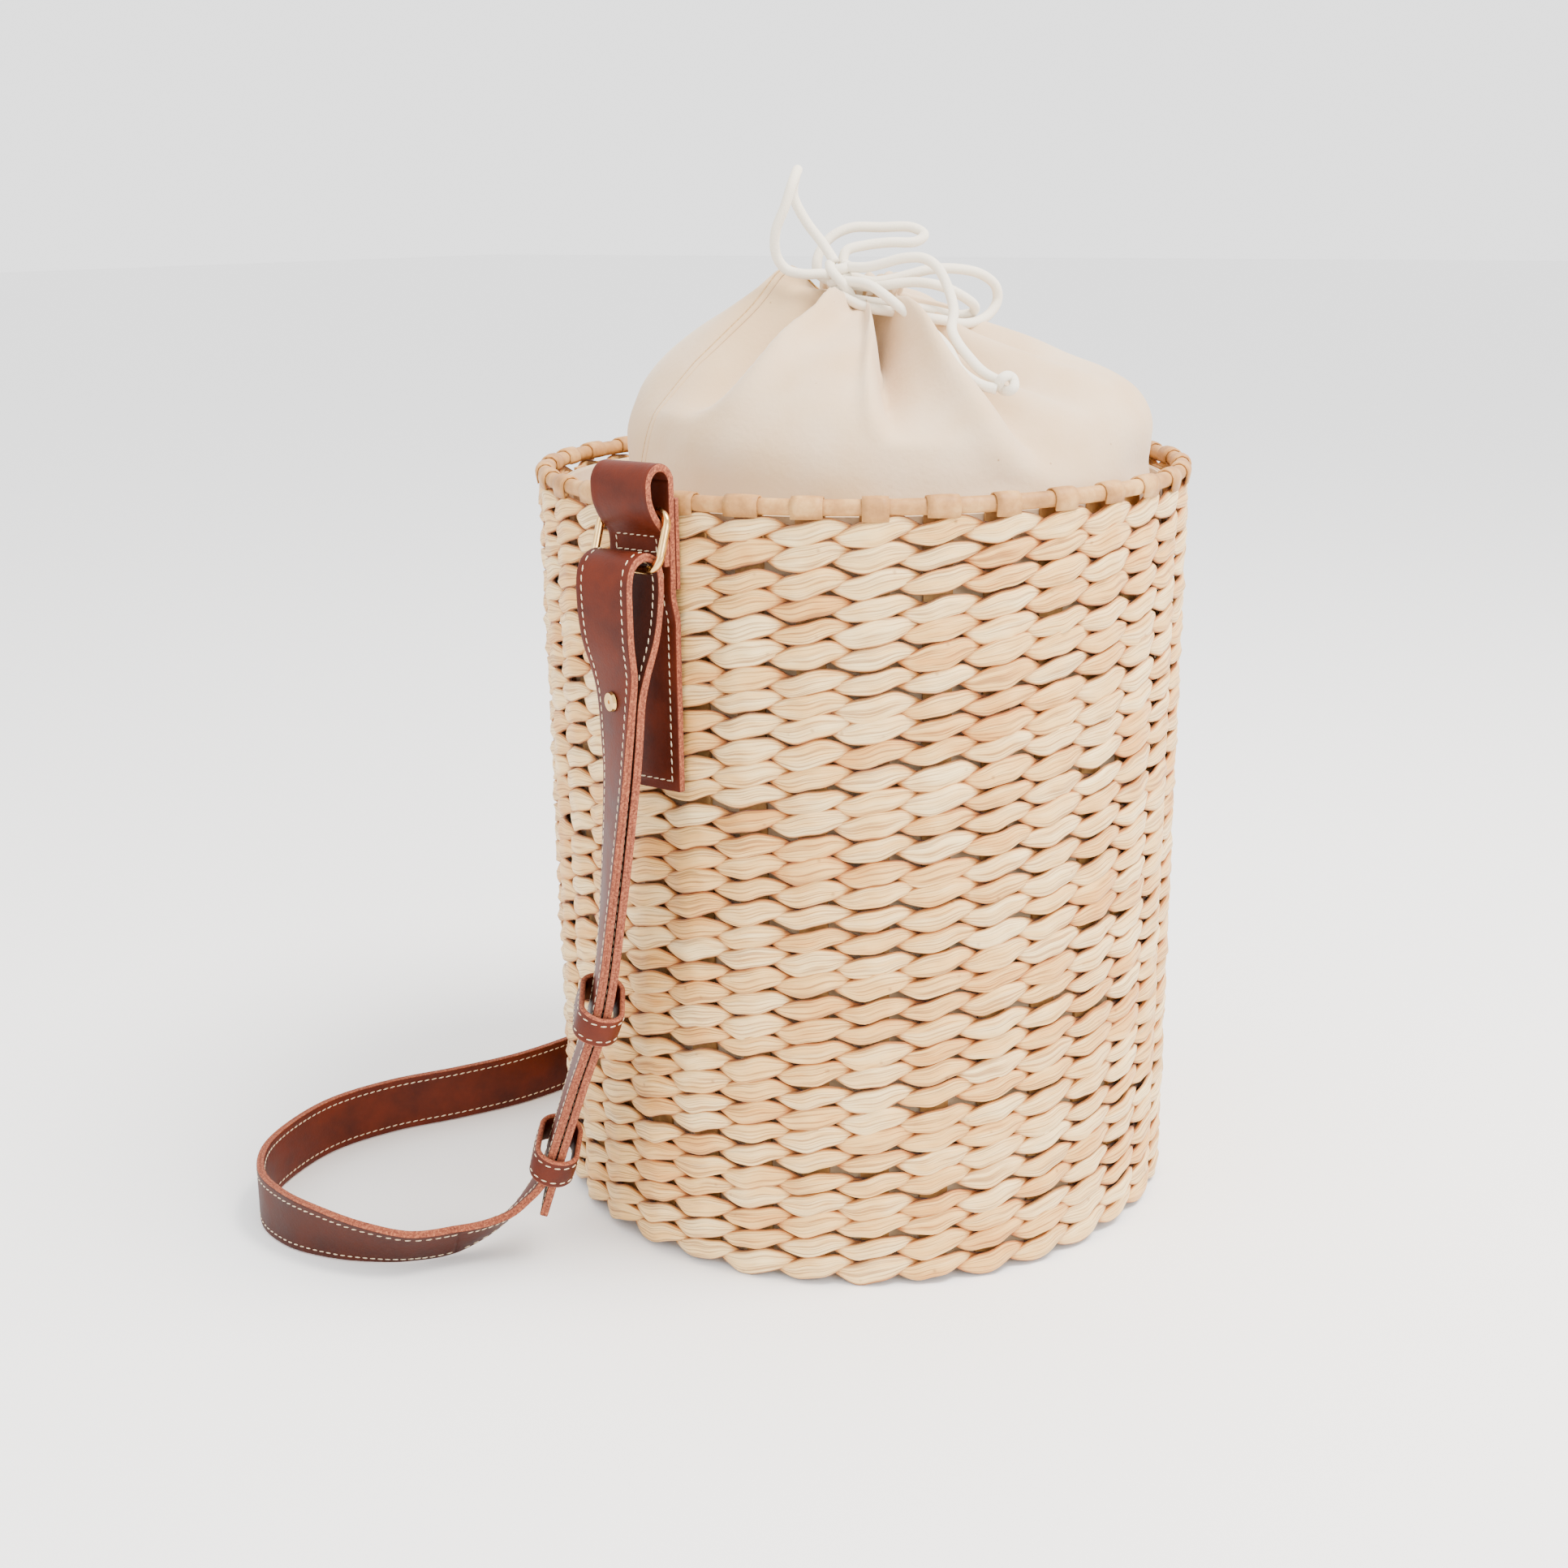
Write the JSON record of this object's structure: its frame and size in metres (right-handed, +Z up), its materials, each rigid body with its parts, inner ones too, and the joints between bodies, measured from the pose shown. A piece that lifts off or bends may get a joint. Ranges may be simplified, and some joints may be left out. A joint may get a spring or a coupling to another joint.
{
  "type": "bucket bag",
  "caption": "Woven straw bucket bag with a gathered canvas collar tied in a cord bow, and a stitched leather shoulder strap on metal rings.",
  "frame": {"origin": "centre of the basket's base, on the ground", "axes": "+Z up; the strap hangs from tabs on -X (end A, the one seen in front) and +X (end B); the strap's loops lie on the ground towards +Y"},
  "size_m": [0.4439, 0.3411, 0.4445],
  "materials": {
    "straw": "matte woven plant fibre",
    "canvas": "matte plain weave",
    "cotton_cord": "matte braid",
    "leather": "smooth, low sheen",
    "dark_leather": "smooth, low sheen",
    "gold_metal": "polished pale gold"
  },
  "bodies": {
    "bag": {"basket_base": "straw", "basket_wall": "straw", "stakes": "straw", "rim_rod": "straw", "rim_wraps": "straw", "lining_floor": "canvas", "lining_side": "canvas", "collar": "canvas", "collar_casing": "canvas", "drawcord_ring": "cotton_cord", "bow_knot": "cotton_cord", "bow_loop_left": "cotton_cord", "bow_loop_top": "cotton_cord", "bow_loop_inner": "cotton_cord", "bow_loop_outer": "cotton_cord", "bow_tail_long": "cotton_cord", "bow_tail_short": "cotton_cord", "end_knot": "cotton_cord", "tab_a": "leather", "tab_b": "leather", "tab_patch_a": "leather", "tab_patch_b": "leather", "strap_bend_a_face": "leather", "strap_bend_a_lining": "dark_leather", "strap_run_face": "leather", "strap_run_lining": "dark_leather", "strap_bend_b_face": "leather", "strap_bend_b_lining": "dark_leather"},
    "ring_a": {"ring_a": "gold_metal"},
    "strap_a": {"strap_leg_a_face": "leather", "strap_leg_a_lining": "dark_leather", "rivet_a": "gold_metal", "rivet_a_cap": "gold_metal"},
    "keeper_upper": {"keeper_upper": "leather"},
    "keeper_lower": {"keeper_lower": "leather"},
    "ring_b": {"ring_b": "gold_metal"},
    "strap_b": {"strap_leg_b_face": "leather", "strap_leg_b_lining": "dark_leather", "rivet_b": "gold_metal", "rivet_b_cap": "gold_metal"}
  },
  "joints": [
    {"name": "ring_a_rock", "type": "hinge", "parent": "bag", "child": "ring_a", "pos_m": [-0.1493, 0, 0.3186], "axis": [0, 1, 0], "range_deg": [0, 5]},
    {"name": "strap_a_swing", "type": "hinge", "parent": "bag", "child": "strap_a", "pos_m": [-0.15669, 0, 0.29714], "axis": [0, 1, 0], "range_deg": [0, 14], "deforming": ["strap_bend_a_face", "strap_bend_a_lining"]},
    {"name": "keeper_upper_slide", "type": "slide", "parent": "strap_a", "child": "keeper_upper", "axis": [0, 0.3648, -0.9311], "range_m": [0, 0.01]},
    {"name": "keeper_lower_slide", "type": "slide", "parent": "strap_a", "child": "keeper_lower", "axis": [0, -0.3648, 0.9311], "range_m": [0, 0.025]},
    {"name": "ring_b_rock", "type": "hinge", "parent": "bag", "child": "ring_b", "pos_m": [0.1493, 0, 0.3186], "axis": [0, -1, 0], "range_deg": [0, 5]},
    {"name": "strap_b_swing", "type": "hinge", "parent": "bag", "child": "strap_b", "pos_m": [0.15669, 0, 0.29714], "axis": [0, -1, 0], "range_deg": [0, 14], "deforming": ["strap_bend_b_face", "strap_bend_b_lining"]}
  ]
}
